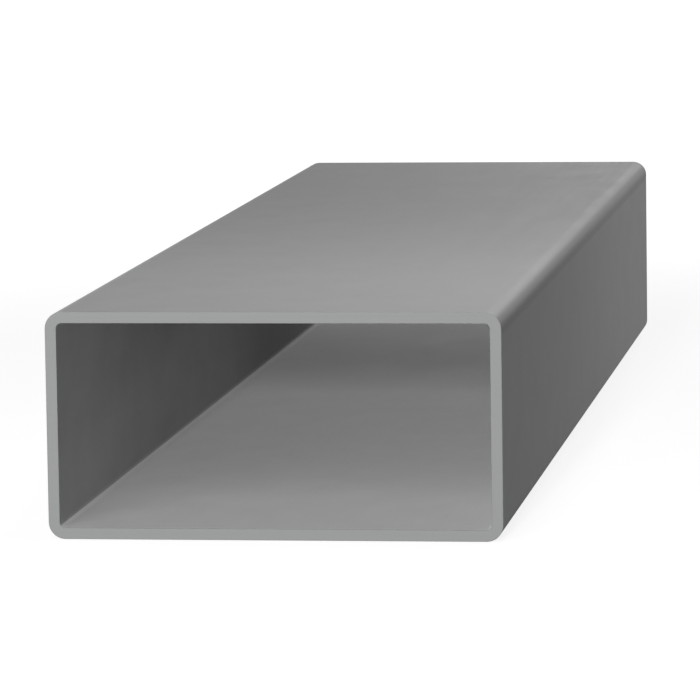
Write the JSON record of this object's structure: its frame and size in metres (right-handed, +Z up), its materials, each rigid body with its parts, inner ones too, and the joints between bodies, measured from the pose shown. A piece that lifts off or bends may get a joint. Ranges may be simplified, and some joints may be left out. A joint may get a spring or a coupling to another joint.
{
  "type": "rectangular steel tube",
  "caption": "Rectangular hollow steel section, cold formed, with round bends at its long edges and both ends sawn square, for frames, posts and rails.",
  "frame": {"origin": "middle of the footprint: halfway across and halfway along the wide side that the tube lies on, at floor level", "axes": "+X across the section's width, +Y along the tube away from the end that the picture shows, +Z up"},
  "size_m": [0.1, 0.4, 0.05],
  "materials": {
    "mill_steel": "bare mill finish, matt mid grey with faint clouding along the rolling direction, paler on the sawn ends"
  },
  "bodies": {
    "root": {"tube": "mill_steel"}
  },
  "joints": []
}
